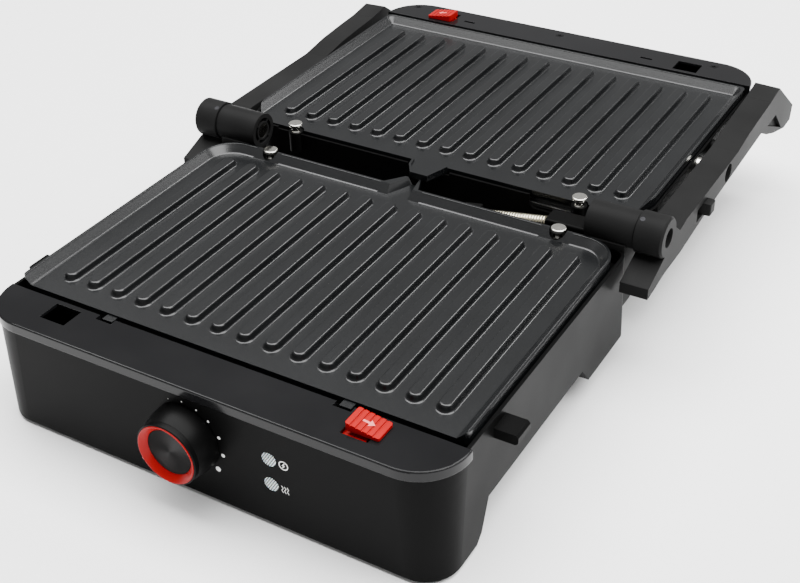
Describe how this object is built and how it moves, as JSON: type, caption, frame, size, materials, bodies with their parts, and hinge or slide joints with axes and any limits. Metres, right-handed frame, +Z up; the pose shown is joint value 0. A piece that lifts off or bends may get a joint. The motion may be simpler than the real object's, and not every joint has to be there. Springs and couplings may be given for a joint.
{
  "type": "contact grill",
  "caption": "Countertop contact grill opened flat, with two ribbed plates, a hinged floating lid on side arms, a chromed handle, a control knob and plate release sliders",
  "frame": {"origin": "on the table under the middle of the opened grill, straight below the hinge axis within a few millimetres", "axes": "+X to the right of a person facing the knob, +Y to the back from the base towards the opened lid, +Z up"},
  "size_m": [0.3398, 0.5113, 0.0977],
  "materials": {
    "housing_black": "fine matte moulding texture",
    "strip_black": "smooth and glossy",
    "coated_plate": "dark non-stick coating on cast aluminium",
    "sheet_steel": "plain sheet",
    "heater_steel": "drawn tube, heat darkened",
    "bright_steel": "bright turned steel",
    "black_screw": "black oxide",
    "chromed_tube": "polished",
    "red_plastic": "satin red",
    "spun_disc": "dark, spun in circles",
    "foot_rubber": "plain",
    "lamp_lens": "frosted, ribbed",
    "board": "circuit board",
    "ceramic": "cream moulding",
    "wire_sleeve": "woven glass sleeve",
    "bush": "plain"
  },
  "bodies": {
    "base": {"base_housing": "housing_black", "base_strip": "strip_black", "bottom_cover": "housing_black", "cover_screws": "black_screw", "rubber_feet": "foot_rubber", "lower_plate": "coated_plate", "lower_tray": "sheet_steel", "lower_heater": "heater_steel", "lower_studs": "bright_steel", "thermostat": "ceramic", "thermostat_nut": "bright_steel", "lamp_lenses": "lamp_lens", "lamp_board": "board", "terminal_block": "ceramic", "cord_gland": "housing_black", "hinge_block": "housing_black", "conduit_socket": "housing_black", "wire_conduit": "bright_steel", "wire_core": "wire_sleeve", "right_hinge_barrel": "housing_black", "left_hinge_barrel": "housing_black", "right_hinge_shaft": "bright_steel", "left_hinge_shaft": "bright_steel"},
    "arms": {"right_arm": "housing_black", "left_arm": "housing_black", "right_arm_grip": "housing_black", "left_arm_grip": "housing_black", "right_hub_bush": "bush", "left_hub_bush": "bush", "hub_pins": "bright_steel", "handle_tube": "chromed_tube"},
    "lid": {"lid_frame": "housing_black", "lid_dome": "housing_black", "lid_strip": "strip_black", "lid_screws": "black_screw", "lid_pads": "foot_rubber", "upper_plate": "coated_plate", "upper_tray": "sheet_steel", "upper_heater": "heater_steel", "upper_studs": "bright_steel", "pivot_pins": "bright_steel"},
    "knob": {"knob_body": "housing_black", "knob_ring": "red_plastic", "knob_cap": "spun_disc", "knob_shaft": "bright_steel"},
    "lower_release": {"lower_slider": "red_plastic"},
    "upper_release": {"upper_slider": "red_plastic"},
    "lid_lock": {"release_peg": "housing_black"}
  },
  "joints": [
    {"name": "lid_hinge", "type": "hinge", "parent": "base", "child": "arms", "pos_m": [0, 0, 0.085], "axis": [1, 0, 0], "range_deg": [0, 180]},
    {"name": "lid_tilt", "type": "hinge", "parent": "arms", "child": "lid", "pos_m": [0, 0.108, 0.0747], "axis": [-1, 0, 0], "range_deg": [-8, 0]},
    {"name": "knob_turn", "type": "hinge", "parent": "base", "child": "knob", "pos_m": [-0.0053, -0.2366, 0.0414], "axis": [0, 1, 0], "range_deg": [0, 242]},
    {"name": "lower_release_slide", "type": "slide", "parent": "base", "child": "lower_release", "axis": [1, 0, 0], "range_m": [0, 0.005], "stiffness_N_per_m": 300},
    {"name": "upper_release_slide", "type": "slide", "parent": "lid", "child": "upper_release", "axis": [-1, 0, 0], "range_m": [0, 0.005], "stiffness_N_per_m": 300},
    {"name": "lid_lock_slide", "type": "slide", "parent": "arms", "child": "lid_lock", "axis": [0, -1, 0], "range_m": [0, 0.01], "stiffness_N_per_m": 200}
  ]
}
